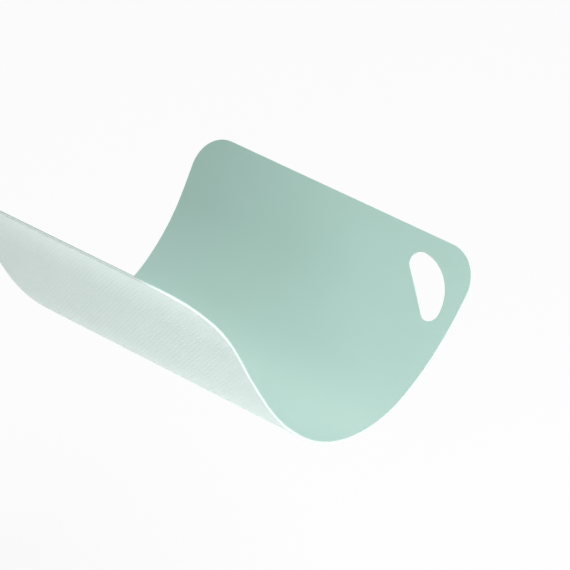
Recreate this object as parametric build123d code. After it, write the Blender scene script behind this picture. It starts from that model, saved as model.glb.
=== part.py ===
from build123d import *
import math
import os

# Flexible cutting mat with a hanging hole, held bent into a chute for tipping food off it.
# A thin coloured cutting face is bonded to a thicker white backing that grips the worktop.
# Lengths are in millimetres and angles in degrees. X runs along the chute, which is the
# mat's short side. Y runs across the chute, from the near flap to the far flap. Z is up,
# and the lowest line of the backing lies on Z = 0.

# The mat as it is cut, flat
mat_width = 240.0
mat_length = 370.0
corner_radius = 25.0
face_thickness = 0.4
backing_thickness = 1.4
mat_thickness = face_thickness + backing_thickness

# The hanging hole, a D across one corner with its flat side towards the middle of the mat
hole_depth = 21.0
hole_bulge_radius = 31.0
hole_end_radius = 7.0
hole_rim_width = 19.5

# The bend, as tangent arcs from the near edge to the far edge. Each arc takes a share of
# the mat's length. The mat is curled a little tighter at its left end than at its right.
arc_shares = (0.12, 0.12, 0.12, 0.12, 0.12, 0.14, 0.14, 0.12)
right_first_angle = -38.0
right_turns = (-7.0, -17.5, 6.0, 19.5, 32.0, 34.5, 16.5, 8.0)
left_first_angle = -35.5
left_turns = (-7.5, -19.0, 4.0, 18.0, 34.5, 41.0, 22.5, 6.5)
# How much further back the chute's lowest line lies at the left end than at the right
belly_skew = 15.0

# How far a cutting prism stands past each side of the sheet
cut_overrun = 6.0


def below(point, heading, depth):
    """The point that lies depth under a point of the cutting face, square to the sheet."""
    y, z = point
    return (y + depth * math.sin(heading), z - depth * math.cos(heading))


class EndProfile:
    """The bend at one end of the chute: where the cutting face is after each arc."""

    def __init__(self, x, first_angle, turns, belly_y):
        self.x = x
        self.arcs = []
        heading = math.radians(first_angle)
        y = z = belly = 0
        for share, turn in zip(arc_shares, turns):
            angle = math.radians(turn)
            radius = share * mat_length / angle
            centre = (y - radius * math.sin(heading), z + radius * math.cos(heading))
            self.arcs.append((centre, radius, heading, angle))
            if heading < 0 <= heading + angle:
                belly = (centre[0], centre[1] - radius - mat_thickness)
            heading += angle
            y = centre[0] + radius * math.sin(heading)
            z = centre[1] - radius * math.cos(heading)
        self.shift = (belly_y - belly[0], -belly[1])

    def on_arc(self, number, part, depth):
        """A point a part of the way along one arc, and the sheet's heading there."""
        centre, radius, start, angle = self.arcs[number]
        heading = start + part * angle
        y = centre[0] + radius * math.sin(heading) + self.shift[0]
        z = centre[1] - radius * math.cos(heading) + self.shift[1]
        return below((y, z), heading, depth), heading

    def at(self, distance, depth=0):
        """The point at a distance round the bend from the near edge, and the direction there."""
        rest = distance / mat_length
        for number, share in enumerate(arc_shares):
            if rest <= share or number == len(arc_shares) - 1:
                break
            rest -= share
        (y, z), heading = self.on_arc(number, rest / share, depth)
        return Vector(self.x, y, z), Vector(0, math.cos(heading), math.sin(heading))

    def boundary(self, depth):
        """The tangent arcs that run depth under the cutting face, near edge to far edge."""
        edges = []
        for number in range(len(self.arcs)):
            points = [self.on_arc(number, part, depth)[0] for part in (0, 1 / 2, 1)]
            edges.append(ThreePointArc(*[(self.x, y, z) for y, z in points]))
        return edges

    def section(self, top, bottom):
        """The closed outline of one layer, between two depths."""
        upper, lower = self.boundary(top), self.boundary(bottom)
        near = Line(lower[0] @ 0, upper[0] @ 0)
        far = Line(upper[-1] @ 1, lower[-1] @ 1)
        return make_face(Wire([near, *upper, far, *lower]))


right_end = EndProfile(mat_width / 2, right_first_angle, right_turns, -belly_skew / 2)
left_end = EndProfile(-mat_width / 2, left_first_angle, left_turns, belly_skew / 2)


def on_mat(x, distance):
    """A point of the cutting face, with the directions along the chute and round the bend."""
    part = x / mat_width + 1 / 2
    left, left_round = left_end.at(distance)
    right, right_round = right_end.at(distance)
    point = left + (right - left) * part
    around = (left_round + (right_round - left_round) * part).normalized()
    return point, (right - left).normalized(), around


def mirrored(point):
    """The same point on the other side of the outline's X axis."""
    return Vector(point.X, -point.Y)


def through_sheet(outline):
    """A prism square to the outline's plane, past both sides of the sheet."""
    return extrude(outline, amount=cut_overrun, both=True)


def corner_cutter(end, edge):
    """What is cut off one corner; end is 1 at the right, and edge is 1 at the far edge."""
    corner, along, around = on_mat(end * mat_width / 2, mat_length * (1 + edge) / 2)
    along_edge = -end * along
    along_end = -edge * around
    # The bend is skewed, so the two edges meet at not quite a right angle
    half_angle = math.radians(along_edge.get_angle(along_end) / 2)
    plane = Plane(origin=corner, x_dir=along_edge + along_end, z_dir=along_edge.cross(along_end))
    run = corner_radius / math.tan(half_angle)
    first = Vector(run * math.cos(half_angle), -run * math.sin(half_angle))
    crown = Vector(corner_radius / math.sin(half_angle) - corner_radius, 0)
    outwards = Vector(-math.sin(half_angle), -math.cos(half_angle)) * cut_overrun
    tip = Vector(-cut_overrun / math.sin(half_angle), 0)
    last, first_out = mirrored(first), first + outwards
    rest = Polyline(last, mirrored(first_out), tip, first_out, first)
    return through_sheet(plane * make_face(Wire([ThreePointArc(first, crown, last), *rest.edges()])))


def hole_cutter():
    """The D-shaped hole, on the diagonal of the corner at the right end of the far edge."""
    rounded_off = corner_radius * (math.sqrt(2) - 1)
    to_middle = (rounded_off + hole_rim_width + hole_depth / 2) / math.sqrt(2)
    centre, along, around = on_mat(mat_width / 2 - to_middle, mat_length - to_middle)
    plane = Plane(origin=centre, x_dir=along + around, z_dir=along.cross(around))
    bulge_centre = hole_depth / 2 - hole_bulge_radius
    end_centre = hole_end_radius - hole_depth / 2
    reach = hole_bulge_radius - hole_end_radius
    half_width = math.sqrt(reach**2 - (end_centre - bulge_centre) ** 2)
    turn = math.atan2(half_width, end_centre - bulge_centre)

    def on_circle(centre_x, centre_y, radius, angle):
        return (centre_x + radius * math.cos(angle), centre_y + radius * math.sin(angle))

    top = [on_circle(end_centre, half_width, hole_end_radius, a) for a in (turn, (turn + math.pi) / 2, math.pi)]
    bulge = [on_circle(bulge_centre, 0, hole_bulge_radius, a) for a in (-turn, 0, turn)]
    bottom = [(x, -y) for x, y in reversed(top)]
    outline = [
        ThreePointArc(*bulge),
        ThreePointArc(*top),
        Line(top[-1], bottom[0]),
        ThreePointArc(*bottom),
    ]
    return through_sheet(plane * make_face(Wire(outline)))


def layer(top, bottom):
    """One bonded layer of the mat, with its round corners and its part of the hole."""
    sheet = loft([left_end.section(top, bottom), right_end.section(top, bottom)], ruled=True)
    for end in (-1, 1):
        for edge in (-1, 1):
            sheet -= corner_cutter(end, edge)
    return sheet - hole_cutter()


def main():
    layers = {
        "cutting_face": layer(0, face_thickness),
        "grip_backing": layer(face_thickness, mat_thickness),
    }
    # The origin lies under the middle of the mat's box, at its lowest line
    boxes = [solid.bounding_box() for solid in layers.values()]
    middle = (min(box.min.Y for box in boxes) + max(box.max.Y for box in boxes)) / 2
    os.makedirs("parts", exist_ok=True)
    for name, solid in layers.items():
        export_step(Pos(0, -middle, 0) * solid, f"parts/{name}.step")


main()
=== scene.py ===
"""Flexible cutting mat, held bent into a chute: a pale mint face on a milky white gripping backing.

Lengths are in metres, angles in degrees and powers in watts. X runs along the chute, which is the
mat's short side, Y across it from the near flap to the far flap, and Z is up. Each layer is worked
out flat, as a grid on the blank, trimmed to the outline and to the hanging hole, and then bent by
one function.
"""

import math

import bpy
import numpy as np
from mathutils import Euler, Matrix, Vector
from mathutils.geometry import delaunay_2d_cdt


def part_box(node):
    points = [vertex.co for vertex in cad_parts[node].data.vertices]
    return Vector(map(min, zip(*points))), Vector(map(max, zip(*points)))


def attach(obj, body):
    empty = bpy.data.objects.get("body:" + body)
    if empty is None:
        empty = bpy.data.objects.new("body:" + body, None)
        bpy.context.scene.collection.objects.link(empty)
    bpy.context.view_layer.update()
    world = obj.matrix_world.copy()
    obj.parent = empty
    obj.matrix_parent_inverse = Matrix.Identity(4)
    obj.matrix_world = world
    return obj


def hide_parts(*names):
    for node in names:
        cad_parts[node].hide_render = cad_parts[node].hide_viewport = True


MM = 0.001

# The mat as it is cut, flat
mat_width = 240 * MM
mat_length = 370 * MM
corner_radius = 25 * MM
face_thickness = 0.4 * MM
backing_thickness = 1.4 * MM
mat_thickness = face_thickness + backing_thickness

# The hanging hole, a D across the corner at the right end of the far edge
hole_depth = 21 * MM
hole_bulge_radius = 31 * MM
hole_end_radius = 7 * MM
hole_rim_width = 19.5 * MM

# The bend, as tangent arcs from the near edge to the far edge; each takes a share of the length
arc_shares = (0.12, 0.12, 0.12, 0.12, 0.12, 0.14, 0.14, 0.12)
right_first_angle = -38
right_turns = (-7, -17.5, 6, 19.5, 32, 34.5, 16.5, 8)
left_first_angle = -35.5
left_turns = (-7.5, -19, 4, 18, 34.5, 41, 22.5, 6.5)
# How much further back the chute's lowest line lies at the left end than at the right
belly_skew = 15 * MM

# The grids on the flat mat. Points near its outline move onto it in a few rounds, along a slope
# taken over a small step, and triangles that come out as slivers are dropped
face_grid = 2 * MM
grip_grid = 1.65 * MM
bonded_grid = 8 * MM
snap_rounds = 3
slope_step = 0.01 * MM
least_area_share = 0.01
weld_distance = 0.001 * MM

# The cut edge: a plain border on the shown side, then a rounding
edge_border = 0.35 * MM
edge_rounding = 0.12 * MM
rounding_steps = 3

# How far each layer's hidden side stands back from the bond, so that the two don't coincide
bond_line = 0.01 * MM

# The grip: pyramids on a diamond grid, with ridges along every other row. The pyramids have the
# height less the ridges' share, and where the two meet they add up to the whole height
grip_height = 0.16 * MM
grip_row_share = 0.45

# The map that patterns are laid out on: the shown side at full size, the bonded side small beside it
map_margin = 4 * MM
map_side = mat_length + 2 * map_margin
bonded_map_scale = 0.2
bonded_map_place = 0.75

# The face's finish: sRGB colours, and the real widths and heights of what varies them
mint_deep = "#AAC8BF"
mint_pale = "#B0CEC5"
drift_width = 60 * MM
face_roughness = (0.44, 0.54)
face_ior = 1.49

# The backing's finish
cut_edge_white = "#D4E3DE"
underside_deep = "#D5E6E0"
underside_pale = "#DCEBE7"
cloud_width = 25 * MM
clear_rim = 0.7 * MM
skin_height = 0.006 * MM
backing_roughness = 0.5
backing_ior = 1.5

# The fine patterns. The real grain is about 0.1 mm across; it is drawn wider so that it shows
grain_width = 0.8 * MM
grain_height = 0.012 * MM
grain_fineness = 0.6
grain_detail = 2
cloud_detail = 3

# The studio
pure_white = "#FFFFFF"
floor_white = "#F4F4F4"
floor_glow_share = 0.9
floor_reach = 12
floor_drop = 250 * MM
world_strength = 0.28
horizon_strength = 0.92
# Each soft box: its name, place, side and power
soft_boxes = (
    ("right_soft_box", (1.24, 0.03, 1.37), 1.1, 35),
    ("front_soft_box", (0.77, -0.73, -0.05), 0.38, 3.1),
    ("back_soft_box", (-1, 1.14, 1.08), 1.1, 5),
    ("low_soft_box", (0.12, -0.04, -0.19), 0.15, 0.1),
)

# The camera, which the mat's outline in the photograph fixes. The photograph's side and the focal
# length are in pixels, and the sensor's width is in millimetres
photo_side = 570
focal_pixels = 4196.6
sensor_width = 36
camera_distance = 2.6
looks_at = Vector((14, 70, 48)) * MM
view_heading = 133.37
view_drop = 26.10
view_roll = -0.158


def along_chord(length, heading, angle):
    """The straight way from an arc's start to its end: a chord, which turns half as far as the arc."""
    chord = length * np.sinc(angle / 2 / math.pi)
    return chord[:, None] * np.stack([np.cos(heading + angle / 2), np.sin(heading + angle / 2)], -1)


def end_of_chute(first_angle, turns, belly_y, distance, depth):
    """Y and Z of one end's bend: the arcs' chords added up, a part of one more, and the depth.

    The depth is measured along the sheet's normal. The lowest point, where the heading passes
    level, is put at belly_y, with the backing's underside at Z = 0.
    """
    lengths = np.array(arc_shares) * mat_length
    angles = np.radians(turns)
    headings = math.radians(first_angle) + np.append(0, np.cumsum(angles))
    starts = np.vstack([np.zeros(2), np.cumsum(along_chord(lengths, headings[:-1], angles), 0)])
    joints = np.append(0, np.cumsum(lengths))

    def at(arc, part, below):
        heading = headings[arc] + part * angles[arc]
        on_face = starts[arc] + along_chord(part * lengths[arc], headings[arc], part * angles[arc])
        return on_face + below[:, None] * np.stack([np.sin(heading), -np.cos(heading)], -1)

    lowest = np.flatnonzero((headings[:-1] < 0) & (headings[1:] >= 0))
    belly = at(lowest, -headings[lowest] / angles[lowest], np.array([mat_thickness]))
    arc = np.clip(np.searchsorted(joints, distance, "right") - 1, 0, len(lengths) - 1)
    return at(arc, (distance - joints[arc]) / lengths[arc], depth) - belly + [belly_y, 0]


def bent(flat):
    """Each flat point (along the chute, from the near edge, under the face) on the bent mat.

    The sheet is ruled: a point lies on the straight line between the two ends' points at its
    distance.
    """
    along, distance, depth = flat.T
    share = (along / mat_width + 0.5)[:, None]
    left = end_of_chute(left_first_angle, left_turns, belly_skew / 2, distance, depth)
    right = end_of_chute(right_first_angle, right_turns, -belly_skew / 2, distance, depth)
    return np.column_stack([along, left + (right - left) * share])


def outside_blank(points):
    """How far a flat point lies outside the rounded rectangle, less than zero inside."""
    middle = np.array([0, mat_length / 2])
    over = abs(points - middle) - np.array([mat_width, mat_length]) / 2 + corner_radius
    return np.hypot(*np.maximum(over, 0).T) + np.minimum(over.max(1), 0) - corner_radius


def outside_hole(points):
    """How far a flat point lies outside the D-shaped hole.

    Measured from the corner's diagonal: inside the bulge's circle and the flat side's line, except
    past each end's centre, where the small end circle has the edge.
    """
    rounded_off = corner_radius * (math.sqrt(2) - 1)
    to_middle = (rounded_off + hole_rim_width + hole_depth / 2) / math.sqrt(2)
    middle = np.array([mat_width / 2 - to_middle, mat_length - to_middle])
    outwards = (points - middle) @ np.array([1, 1]) / math.sqrt(2)
    sideways = abs((points - middle) @ np.array([-1, 1]) / math.sqrt(2))
    bulge_centre = hole_depth / 2 - hole_bulge_radius
    end_centre = hole_end_radius - hole_depth / 2
    between = end_centre - bulge_centre
    half_width = math.sqrt((hole_bulge_radius - hole_end_radius) ** 2 - between**2)
    from_bulge = np.hypot(outwards - bulge_centre, sideways) - hole_bulge_radius
    from_end = np.hypot(outwards - end_centre, sideways - half_width) - hole_end_radius
    from_flat = -hole_depth / 2 - outwards
    past_joint = np.arctan2(sideways, outwards - bulge_centre) > math.atan2(half_width, between)
    at_end = past_joint & (sideways > half_width)
    return np.where(at_end, from_end, np.maximum(from_bulge, from_flat))


def outside_sheet(points):
    """How far a flat point lies outside the mat: outside its blank, or inside its hole."""
    return np.maximum(outside_blank(points), -outside_hole(points))


def outwards_at(points):
    """The unit direction in which a flat point leaves the mat soonest."""
    moves = np.eye(2) * slope_step
    slope = [outside_sheet(points + move) - outside_sheet(points - move) for move in moves]
    slope = np.stack(slope, -1)
    return slope / np.linalg.norm(slope, axis=1, keepdims=True)


def trimmed_grid(spacing, inset):
    """A flat grid cut to the mat's outline, less an inset: points, triangles and shares of relief.

    A point within half a step of the outline moves onto it along the shortest way. After that no
    grid line crosses the outline, so a square with one point left outside keeps its other half as
    a triangle.
    """
    size = np.array([mat_width, mat_length]) - 2 * inset
    counts = np.ceil(size / spacing).astype(int)
    column, row = np.meshgrid(*[np.arange(count + 1) for count in counts], indexing="ij")
    steps = np.column_stack([column.ravel(), row.ravel()])
    points = steps * size / counts + [-size[0] / 2, inset]
    over = outside_sheet(points) + inset
    near = abs(over) < (size / counts).max() / 2
    for _ in range(snap_rounds):
        points[near] -= over[near, None] * outwards_at(points[near])
        over = outside_sheet(points) + inset
    outside = (over > 0) & ~near
    corner = (column * (counts[1] + 1) + row)[:-1, :-1].ravel()
    square = corner[:, None] + np.array([0, counts[1] + 1, counts[1] + 2, 1])
    # Each square is split between its two even points, so that an odd point can be a pyramid's tip
    odd = steps.sum(1) % 2 == 1
    square = np.where(odd[square[:, :1]], square, np.roll(square, -1, 1))
    whole = square[~outside[square].any(1)]
    part = square[outside[square].sum(1) == 1]
    triples = ([0, 1, 3], [2, 3, 1], [1, 2, 0], [3, 0, 2])
    halves = np.vstack([part[:, three] for three in triples])
    faces = np.vstack([whole[:, [0, 1, 3]], whole[:, [2, 3, 1]], halves[~outside[halves].any(1)]])
    a, b, c = (points[faces[:, k]] for k in range(3))
    area = np.cross(b - a, c - a) / 2
    in_sheet = ~near[faces].all(1) | (outside_sheet((a + b + c) / 3) + inset < 0)
    faces = faces[in_sheet & (area > least_area_share * spacing**2)]
    used, faces = np.unique(faces, return_inverse=True)
    # The relief: a checkerboard of pyramids, on rows that are ridges by turns
    relief = (1 - grip_row_share) * odd + grip_row_share * (steps[:, 1] % 2)
    return points[used], faces.reshape(-1, 3), relief[used]


def rim_edges(faces):
    """The directed edges that only one face has, so that the mat lies to their left."""
    edges = np.vstack([faces[:, [0, 1]], faces[:, [1, 2]], faces[:, [2, 0]]])
    reverse = set(map(tuple, edges[:, ::-1].tolist()))
    return np.array([edge for edge in edges.tolist() if tuple(edge) not in reverse])


def edge_profile(shown_depth, bonded_depth):
    """Steps (outwards, depth) from the grid's rim: a border, a quarter circle and the cut edge."""
    way = math.copysign(edge_rounding, bonded_depth - shown_depth)
    turns = np.linspace(0, math.pi / 2, rounding_steps + 1)
    outwards = edge_border + edge_rounding * np.sin(turns)
    rounding = np.column_stack([outwards, shown_depth + way * (1 - np.cos(turns))])
    return np.vstack([rounding, [edge_border + edge_rounding, bonded_depth]])


def bonded_side(rim, edges):
    """Flat points and triangles, inside a rim, of the side bonded to the other layer; it is hidden."""
    across = np.arange(-mat_width / 2, mat_width / 2, bonded_grid)
    distance = np.arange(0, mat_length, bonded_grid)
    inner = np.stack(np.meshgrid(across, distance), -1).reshape(-1, 2)
    inner = inner[outside_sheet(inner) < -bonded_grid / 2]
    points = np.vstack([rim, inner])
    vectors = [Vector(point) for point in points.tolist()]
    found = delaunay_2d_cdt(vectors, edges.tolist(), [], 0, weld_distance)
    faces = np.array(found[2])
    return inner, faces[outside_sheet(points[faces].mean(1)) < 0]


def on_map(points, scale, place):
    """Where flat points lie on the map, with the mat's length along it."""
    u = (points[:, 1] + map_margin) / map_side
    v = (points[:, 0] + mat_width / 2 + map_margin) / map_side
    return np.column_stack([u, v]) * scale + [0, place]


def layer(name, spacing, shown_depth, bonded_depth, relief_height=0):
    """One layer as a closed mesh: its shown side, its cut edge and its bonded side.

    The shown side is the trimmed grid at one depth, with its relief raised. The cut edge is the
    edge profile carried round the grid's rim, along the directions in which the rim leaves the mat.
    """
    points, faces, relief = trimmed_grid(spacing, edge_border + edge_rounding)
    edges = rim_edges(faces)
    rim, edges = np.unique(edges, return_inverse=True)
    edges = edges.reshape(-1, 2)
    away = outwards_at(points[rim])
    relief[rim] = 0
    way = math.copysign(1, bonded_depth - shown_depth)

    # Points: the grid, then the rim at each step of the profile, then the inside of the bonded side
    profile = edge_profile(shown_depth, bonded_depth)
    steps = [points[rim] + away * out for out, _ in profile]
    inner, bonded_faces = bonded_side(steps[-1], edges)
    flat = np.vstack([points, *steps, inner])
    depth = np.concatenate([
        shown_depth - way * relief_height * relief,
        np.repeat(profile[:, 1], len(rim)),
        np.full(len(inner), bonded_depth),
    ])

    # Faces, as seen with the shown side on top
    firsts = len(points) + len(rim) * np.arange(len(profile))
    walls = []
    for upper, lower in zip([rim, *(first + np.arange(len(rim)) for first in firsts)], firsts):
        a, b = edges.T
        walls.append(np.column_stack([lower + a, lower + b, upper[b]]))
        walls.append(np.column_stack([lower + a, upper[b], upper[a]]))
    bonded_faces = bonded_faces[:, ::-1] + firsts[-1]
    all_faces = np.vstack([faces, *walls, bonded_faces])
    if way < 0:
        all_faces = all_faces[:, ::-1]

    # The map: the cut edge is unrolled outwards from the shown side
    unrolled = np.cumsum(np.hypot(*np.diff(np.vstack([[0, shown_depth], profile]), axis=0).T))
    spread = np.vstack([points, *[points[rim] + away * run for run in unrolled], inner])
    places = on_map(spread, 1, 0)[all_faces]
    bonded = len(all_faces) - len(bonded_faces)
    places[bonded:] = on_map(flat, bonded_map_scale, bonded_map_place)[all_faces[bonded:]]

    mesh = bpy.data.meshes.new(name)
    mesh.vertices.add(len(flat))
    mesh.vertices.foreach_set("co", bent(np.column_stack([flat, depth])).ravel())
    mesh.loops.add(all_faces.size)
    mesh.loops.foreach_set("vertex_index", all_faces.ravel())
    mesh.polygons.add(len(all_faces))
    mesh.polygons.foreach_set("loop_start", np.arange(len(all_faces)) * 3)
    # The relief's facets stay flat, and everything else is shaded smooth
    flat_faces = np.arange(len(all_faces)) < len(faces) * (relief_height > 0)
    mesh.polygons.foreach_set("use_smooth", ~flat_faces)
    mesh.uv_layers.new(name="OFBake").uv.foreach_set("vector", places.ravel())
    laid = mesh.attributes.new("laid_flat", "FLOAT_VECTOR", "POINT")
    laid.data.foreach_set("vector", np.column_stack([flat, depth]).ravel())
    inside = mesh.attributes.new("from_edge", "FLOAT", "POINT")
    inside.data.foreach_set("value", np.maximum(-outside_sheet(flat), 0))
    mesh.validate()
    mesh.update()
    piece = bpy.data.objects.new(name, mesh)
    bpy.context.scene.collection.objects.link(piece)
    return piece


def linear(code):
    """A colour written as sRGB hex, as linear red, green, blue and alpha."""
    shares = [int(code[k : k + 2], 16) / 255 for k in (1, 3, 5)]
    return [s / 12.92 if s <= 0.04045 else ((s + 0.055) / 1.055) ** 2.4 for s in shares] + [1]


def add(tree, kind, inputs=(), **settings):
    """Adds a node; inputs maps a socket's name or number to its value or to what feeds it."""
    node = tree.nodes.new(kind)
    for key, value in settings.items():
        setattr(node, key, value)
    for key, value in dict(inputs).items():
        if isinstance(value, bpy.types.NodeSocket):
            tree.links.new(value, node.inputs[key])
        else:
            node.inputs[key].default_value = value
    return node


def mixed_colours(tree, share, first, second):
    """The colour that is a share of the way from the first to the second."""
    return add(tree, "ShaderNodeMix", {0: share, 6: first, 7: second}, data_type="RGBA").outputs[2]


def noise(tree, place, width, detail, more=()):
    """A noise pattern whose features are about as wide as asked."""
    inputs = {"Vector": place, "Scale": 1 / width, "Detail": detail, **dict(more)}
    return add(tree, "ShaderNodeTexNoise", inputs).outputs["Fac"]


def new_material(name):
    """An empty material and its node tree."""
    material = bpy.data.materials.new(name)
    material.use_nodes = True
    material.node_tree.nodes.clear()
    return material, material.node_tree


def calendered_polypropylene():
    """The cutting face: polypropylene film, coloured through and rolled to a matt finish.

    The matt roll leaves a fine grain, which softens every highlight into a broad pale sheen, and
    the film's colour drifts very slightly along and across the roll.
    """
    material, tree = new_material("calendered_polypropylene_mint")
    laid = add(tree, "ShaderNodeAttribute", attribute_name="laid_flat").outputs["Vector"]
    drift = noise(tree, laid, drift_width, grain_detail)
    colour = mixed_colours(tree, drift, linear(mint_deep), linear(mint_pale))
    grain = noise(tree, laid, grain_width, grain_detail, {"Roughness": grain_fineness})
    bump = add(tree, "ShaderNodeBump", {"Height": grain, "Distance": grain_height})
    least, most = face_roughness
    rough = add(tree, "ShaderNodeMapRange", {"Value": grain, "To Min": least, "To Max": most})
    shader = add(tree, "ShaderNodeBsdfPrincipled", {
        "Base Color": colour, "Roughness": rough.outputs["Result"], "IOR": face_ior,
        "Normal": bump.outputs["Normal"],
    })
    add(tree, "ShaderNodeOutputMaterial", {"Surface": shader.outputs["BSDF"]})
    return material


def milky_elastomer():
    """The backing: a milky thermoplastic elastomer, embossed underneath with a fine diamond grip.

    Light goes a little way into it, so the mint film shows through the middle as a pale tint. The
    cut edge has nothing behind it, so it has hardly any tint.
    """
    material, tree = new_material("milky_elastomer")
    laid = add(tree, "ShaderNodeAttribute", attribute_name="laid_flat").outputs["Vector"]
    inside = add(tree, "ShaderNodeAttribute", attribute_name="from_edge").outputs["Fac"]
    rim = {"Value": inside, "From Max": clear_rim}
    tint = add(tree, "ShaderNodeMapRange", rim, interpolation_type="SMOOTHSTEP")
    cloud = noise(tree, laid, cloud_width, cloud_detail)
    through = mixed_colours(tree, cloud, linear(underside_deep), linear(underside_pale))
    colour = mixed_colours(tree, tint.outputs["Result"], linear(cut_edge_white), through)
    skin = noise(tree, laid, grain_width, grain_detail)
    bump = add(tree, "ShaderNodeBump", {"Height": skin, "Distance": skin_height})
    shader = add(tree, "ShaderNodeBsdfPrincipled", {
        "Base Color": colour, "Roughness": backing_roughness, "IOR": backing_ior,
        "Normal": bump.outputs["Normal"],
    })
    add(tree, "ShaderNodeOutputMaterial", {"Surface": shader.outputs["BSDF"]})
    return material


def sum_of(tree, first, second, **settings):
    """The sum of two values."""
    return add(tree, "ShaderNodeMath", {0: first, 1: second}, operation="ADD", **settings).outputs[0]


def seen_directly(tree):
    """1 where a surface is seen, in a gloss or through glass too, and 0 for light that it gives."""
    path = add(tree, "ShaderNodeLightPath").outputs
    either = sum_of(tree, path["Is Camera Ray"], path["Is Glossy Ray"])
    return sum_of(tree, either, path["Is Transmission Ray"], use_clamp=True)


def studio_floor():
    """A white floor that looks nearly white everywhere and keeps a soft shadow.

    It lies well below the mat, which the photograph shows held up in the air.
    """
    material, tree = new_material("studio_floor")
    lit = add(tree, "ShaderNodeBsdfDiffuse", {"Color": linear(floor_white)})
    glow = add(tree, "ShaderNodeEmission", {"Color": linear(pure_white), "Strength": 1})
    seen = seen_directly(tree)
    share = add(tree, "ShaderNodeMath", {0: seen, 1: floor_glow_share}, operation="MULTIPLY")
    mixed = add(tree, "ShaderNodeMixShader", {
        0: share.outputs[0], 1: lit.outputs["BSDF"], 2: glow.outputs["Emission"]
    })
    add(tree, "ShaderNodeOutputMaterial", {"Surface": mixed.outputs["Shader"]})
    mesh = bpy.data.meshes.new("floor")
    ways = ((-1, -1), (1, -1), (1, 1), (-1, 1))
    corners = [(x * floor_reach, y * floor_reach, -floor_drop) for x, y in ways]
    mesh.from_pydata(corners, [], [(0, 1, 2, 3)])
    mesh.materials.append(material)
    floor = bpy.data.objects.new("floor", mesh)
    bpy.context.scene.collection.objects.link(floor)


def world_light():
    """A pale studio all round: as pale as the far floor to see, and dimmer in what it gives."""
    world = bpy.data.worlds.new("studio")
    bpy.context.scene.world = world
    world.use_nodes = True
    tree = world.node_tree
    tree.nodes.clear()
    strength = add(tree, "ShaderNodeMapRange", {
        "Value": seen_directly(tree), "To Min": world_strength, "To Max": horizon_strength
    })
    background = add(tree, "ShaderNodeBackground", {
        "Color": linear(pure_white), "Strength": strength.outputs["Result"]
    })
    add(tree, "ShaderNodeOutputWorld", {"Surface": background.outputs["Background"]})


def lamp(name, place, side, power):
    """A square soft box that faces the mat and isn't in the picture itself."""
    light = bpy.data.lights.new(name, "AREA")
    light.size = side
    light.energy = power
    box = bpy.data.objects.new(name, light)
    box.location = place
    box.rotation_euler = (looks_at - Vector(place)).to_track_quat("-Z", "Y").to_euler()
    box.visible_camera = False
    bpy.context.scene.collection.objects.link(box)


def camera():
    """The photograph's view: turned to its heading, dropped below level and rolled a touch."""
    turn = Euler((math.radians(90 - view_drop), 0, math.radians(view_heading - 90))).to_matrix()
    turn @= Euler((0, 0, math.radians(view_roll))).to_matrix()
    lens = bpy.data.cameras.new("camera")
    lens.sensor_width = sensor_width
    lens.lens = focal_pixels / photo_side * sensor_width
    eye = bpy.data.objects.new("camera", lens)
    eye.matrix_world = turn.to_4x4()
    eye.location = looks_at + turn @ Vector((0, 0, camera_distance))
    bpy.context.scene.collection.objects.link(eye)
    bpy.context.scene.camera = eye


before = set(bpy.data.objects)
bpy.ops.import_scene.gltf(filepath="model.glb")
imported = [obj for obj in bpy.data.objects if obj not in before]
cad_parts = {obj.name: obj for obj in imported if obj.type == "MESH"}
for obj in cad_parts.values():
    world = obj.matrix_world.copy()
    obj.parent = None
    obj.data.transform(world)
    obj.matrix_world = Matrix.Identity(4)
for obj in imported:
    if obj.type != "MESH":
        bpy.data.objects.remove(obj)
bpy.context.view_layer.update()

cutting_face = layer("cutting_face_film", face_grid, 0, face_thickness - bond_line)
base_of_relief = mat_thickness - grip_height
grip_backing = layer(
    "grip_backing_sheet", grip_grid, base_of_relief, face_thickness + bond_line, grip_height
)
# The bend has no place of its own across the chute, so it takes the frame's
near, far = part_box("cutting_face")
reach = [vertex.co.y for vertex in cutting_face.data.vertices]
across = (near.y + far.y - min(reach) - max(reach)) / 2
for piece, node, material in (
    (cutting_face, "cutting_face", calendered_polypropylene()),
    (grip_backing, "grip_backing", milky_elastomer()),
):
    piece.data.transform(Matrix.Translation((0, across, 0)))
    piece.data.materials.append(material)
    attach(piece, "root")
    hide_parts(node)

studio_floor()
world_light()
for name, place, side, power in soft_boxes:
    lamp(name, place, side, power)
camera()
bpy.context.scene.view_settings.view_transform = "Standard"
